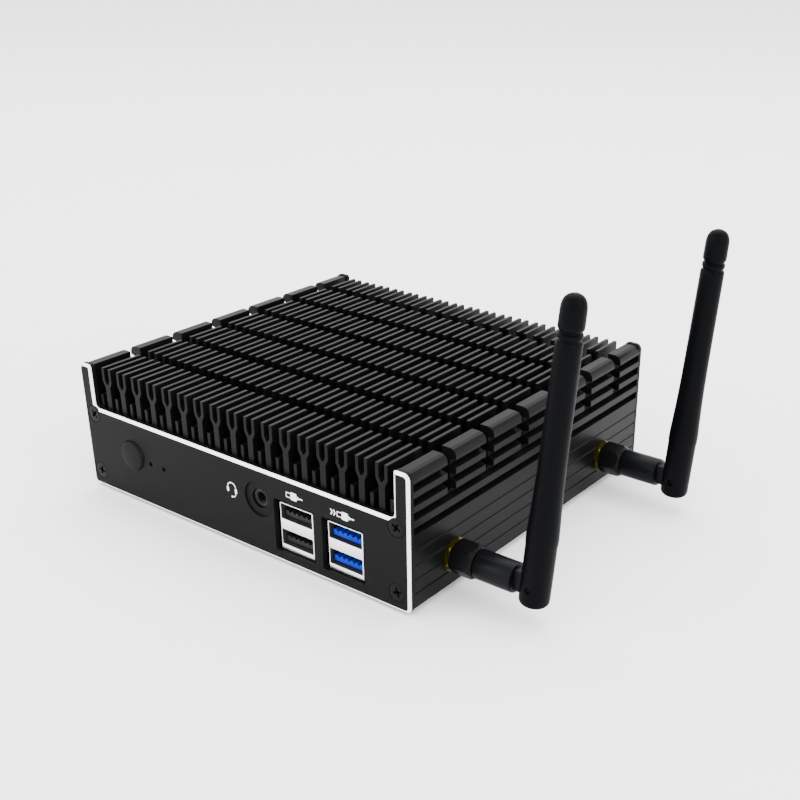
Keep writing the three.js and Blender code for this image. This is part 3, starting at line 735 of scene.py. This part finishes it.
def plug_symbol(name, x, z, chevrons):
    """Plug seen from the side: sleeve, grip and lead, with chevrons for the faster socket."""
    outlines = [
        [(-3.2, -0.85), (-1.5, -0.85), (-1.5, -0.6), (-2.95, -0.6), (-2.95, 0.6), (-1.5, 0.6), (-1.5, 0.85),
         (-3.2, 0.85)],
        rounded(-1.4, 1.0, -1.25, 1.25, 0.35),
        rounded(1.1, 1.7, -0.5, 0.5, 0.15),
        rounded(1.8, 3.3, -0.2, 0.2, 0.12),
    ]
    for i in range(chevrons):
        shift = -4.6 - i * 1.1
        outlines.append([(shift, -0.9), (shift + 0.45, -0.9), (shift + 0.95, 0), (shift + 0.45, 0.9), (shift, 0.9),
                         (shift + 0.5, 0)])
    return symbol(name, [shifted(o, x, z) for o in outlines])


plug_symbol("usb2_symbol", middle("usb2_shell").x + 0.7, span("usb2_shell", 2)[1] + 4.2, 0)
plug_symbol("usb3_symbol", middle("usb3_shell").x + 1.4, span("usb3_shell", 2)[1] + 4.2, 2)

# ---------------------------------------------------------------- antennas


def hexagon(flats, turn=0):
    """Six corners, flats being the width across two opposite flats."""
    return arc((0, 0), flats / 2 / math.cos(math.pi / 6), turn, turn + 300, 5)


WHIP_PROFILE = [
    (0, -5.6), (3.5, -5.6), (3.9, -5.48), (4.2, -5.15), (4.36, -4.75), (4.41, -4.2), (4.42, -2), (4.42, 12.7),
    (4.44, 13.1), (4.53, 13.8), (4.55, 15), (4.52, 16.8), (4.42, 19), (4.28, 22), (4.12, 25.5), (3.97, 30),
    (3.86, 34.5), (3.76, 42), (3.68, 52), (3.62, 62), (3.56, 70.9), (3.5, 71.4), (3.3, 71.75), (2.95, 71.95),
    (2.85, 72.15), (2.85, 72.4), (2.98, 72.55), (3.28, 72.7), (3.38, 73.0), (3.38, 73.6), (3.28, 73.9),
    (2.98, 74.05), (2.85, 74.2), (2.85, 74.55), (2.98, 74.75), (3.3, 74.95), (3.48, 75.3), (3.5, 76),
    (3.46, 80.3), (3.36, 81.2), (3.12, 82.1), (2.7, 82.9), (2.1, 83.5), (1.3, 83.93), (0.6, 84.07), (0, 84.1)]
BARREL_END = 22
TONGUE_THICK = 1.7
TONGUE_TALL = 3.2
TOE_RADIUS = 5.85


def antenna(side):
    """Jack fittings, coupling, barrel, whip and hinge pin, built along +X from the wall and then placed."""
    prefix = f"{side}_antenna"
    wall = span("housing", 0)[1]
    pivot = Vector(JOINTS[f"{prefix}_elbow"]["pos_m"]) / MM
    axis = JOINTS[f"{prefix}_elbow"]["axis"]
    swing = math.atan2(axis[2], axis[1])
    lean = math.radians(-JOINTS[f"{prefix}_elbow"]["range_deg"][0])
    base = Matrix.Translation(Vector((wall, pivot.y, pivot.z)) * MM)
    turned = base @ Matrix.Rotation(swing, 4, "X")
    reach = pivot.x - wall
    leaned = turned @ Matrix.Translation(Vector((reach, 0, 0)) * MM) @ Matrix.Rotation(lean, 4, "Y")

    washer = lathe("w", [(3.3, 0.02), (5.2, 0.02), (5.2, 0.32), (3.3, 0.32), (3.3, 0.02)], "X", segments=40)
    nut = prism("n", [hexagon(9, 15)], "X", 0.32, 1.25)
    turnings = lathe("t", [(0, 0.1), (4.9, 0.1), (5.1, 0.5), (5.1, 0.9), (4.8, 1.26), (0, 1.26)], "X", segments=40)
    combine(nut, [turnings], "INTERSECT")
    cut(nut, lathe("b", [(0, -1), (3.35, -1), (3.35, 4), (0, 4)], "X", segments=32))
    nut.name = f"{side}_gold_nut"
    # nut and washer take the darkened gilt finish: painted shade
    paint(nut, "gold_painted_shade")
    soften(nut, 0.08, 2)
    nut.data.transform(base)
    piece(shade(nut), "case", "gold_plate", f"{prefix}_jack_nut")
    washer.name = f"{side}_gold_washer"
    paint(washer, "gold_painted_shade")
    washer.data.transform(base)
    piece(shade(washer), "case", "gold_plate")

    coupling = prism("c", [hexagon(9.6, 8)], "X", 1.42, 9)
    turnings = lathe("t", [
        (0, 1.4), (4.85, 1.4), (5.2, 1.7), (5.3, 2.0), (5.3, 7.6), (4.95, 8.3), (4.5, 9), (0, 9)], "X", segments=64)
    combine(coupling, [turnings], "INTERSECT")
    cut(coupling, lathe("b", [(0, 2), (3.35, 2), (3.35, 10), (0, 10)], "X", segments=40))
    coupling.name = f"{side}_coupling"
    # the rounded edges take a lighter, glossier copy of the black steel: painted highlight
    paint(coupling, "black_steel", "steel_edge_painted_highlight")
    soften(coupling, 0.14, 2, 20, edge_slot=1)
    coupling.data.transform(base)
    piece(shade(coupling, 20), "case", "black_steel", f"{prefix}_coupling_nut")

    end = BARREL_END
    barrel = lathe("b", [
        (0, 8.6), (3.1, 8.6), (3.1, 9.2), (4.1, 9.2), (4.4, 9.4), (4.5, 9.75), (4.5, end - 0.5), (4.4, end - 0.15),
        (4.15, end), (0, end)], "X", segments=64)
    thick, tall = TONGUE_THICK, TONGUE_TALL
    bar = block("bar", (end - 1, reach), (-thick, thick), (-tall, tall))
    eye = lathe("eye", [(0, -thick), (tall, -thick), (tall, thick), (0, thick)], "Y", (reach, 0, 0), 48)
    fuse(barrel, bar, eye)
    cut(barrel, lathe("p", [(0, -6), (1.1, -6), (1.1, 6), (0, 6)], "Y", (reach, 0, 0), 24))
    barrel.name = f"{side}_hinge_barrel"
    paint(barrel, "barrel")
    soften(barrel, 0.15, 2, 50)
    barrel.data.transform(turned)
    piece(shade(barrel), f"{side}_barrel", "antenna_plastic", f"{prefix}_barrel")

    whip = lathe("w", WHIP_PROFILE, "Z", segments=64)
    slot = rounded(-6, tall + 0.3, -6, tall + 0.3, 0.4)
    toe = [(-8, -8), (0, -8)] + arc((0, 0), TOE_RADIUS, 270, 180, 24) + [(-8, 0)]
    cut(whip, prism("s", [slot], "Y", -thick - 0.3, thick + 0.3), prism("toe", [toe], "Y", -6, 6),
        lathe("p", [(0, -6), (0.95, -6), (0.95, 6), (0, 6)], "Y", segments=24))
    whip.name = f"{side}_sheath"
    paint(whip, "antenna")
    soften(whip, 0.12, 2, 50)
    whip.data.transform(leaned)
    piece(shade(whip, 40), f"{side}_whip", "antenna_plastic", f"{prefix}_whip")
    pin = lathe(
        "pin", [(0, -4.12), (0.6, -4.12), (0.85, -3.9), (0.85, 3.9), (0.6, 4.12), (0, 4.12)], "Y", segments=24)
    pin.name = f"{side}_pin"
    paint(pin, "antenna")
    pin.data.transform(leaned)
    piece(shade(pin), f"{side}_whip", "black_steel", f"{prefix}_hinge_pin")


antenna("front")
antenna("rear")

# ---------------------------------------------------------------- carried-over CAD nodes

soften_cad("housing", 0.13)
soften_cad("bottom_cover", 0.3)
for i in range(1, 5):
    shade(soften_cad(f"foot_{i}", 0.3, 3))
soften_cad("power_inlet", 0.15)

# ---------------------------------------------------------------- floor, lights, camera

FLOOR_HALF_WIDTH = 4000
WORLD_STRENGTH = 3

floor = new_object(
    "floor", lambda bm: bmesh.ops.create_grid(bm, x_segments=1, y_segments=1, size=FLOOR_HALF_WIDTH))
floor.data.transform(Matrix.Translation((0, 0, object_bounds()[0][2])))
floor.data.materials.append(surface("floor", (0.93, 0.93, 0.93), 0.7, variation=0.01, bump=0.02, specular=0.2))


def area_light(name, place, aim, size, power):
    lamp = bpy.data.lights.new(name, "AREA")
    lamp.shape = "RECTANGLE"
    lamp.size, lamp.size_y = size
    lamp.energy = power
    obj = bpy.data.objects.new(name, lamp)
    obj.location = place
    direction = Vector(aim) - Vector(place)
    obj.rotation_euler = direction.to_track_quat("-Z", "Y").to_euler()
    bpy.context.scene.collection.objects.link(obj)


area_light("top_softbox", (-0.2, 0.5, 1.1), (0, 0, 0.02), (1.4, 1.0), 20)
area_light("front_softbox", (-0.9, -1.1, 0.7), (0, 0, 0.02), (0.9, 0.9), 14)
area_light("side_softbox", (1.3, -0.1, 0.8), (0.05, 0, 0.02), (0.8, 1.0), 16)

world = bpy.data.worlds.new("studio")
world.use_nodes = True
background = world.node_tree.nodes["Background"]
background.inputs["Color"].default_value = (1, 1, 1, 1)
background.inputs["Strength"].default_value = WORLD_STRENGTH
bpy.context.scene.world = world

AZIMUTH, ELEVATION, ROLL = (math.radians(a) for a in (36.666, 25.6, 0.254))
CAMERA_AT = Vector((225.0, -278.14, 182.33)) * MM
FOCAL = 52.99
SHIFT = (-0.0696, 0.0735)

level = math.cos(ELEVATION)
back = Vector((math.sin(AZIMUTH) * level, -math.cos(AZIMUTH) * level, math.sin(ELEVATION)))
right = Vector((math.cos(AZIMUTH), math.sin(AZIMUTH), 0))
up = back.cross(right)
camera_x = right * math.cos(ROLL) + up * math.sin(ROLL)
camera_y = up * math.cos(ROLL) - right * math.sin(ROLL)
lens = bpy.data.cameras.new("camera")
lens.sensor_width = 36
lens.lens = FOCAL
lens.shift_x, lens.shift_y = SHIFT
lens.clip_start = 0.01
camera = bpy.data.objects.new("camera", lens)
camera.matrix_world = Matrix.Translation(CAMERA_AT) @ Matrix((camera_x, camera_y, back)).transposed().to_4x4()
bpy.context.scene.collection.objects.link(camera)
bpy.context.scene.camera = camera
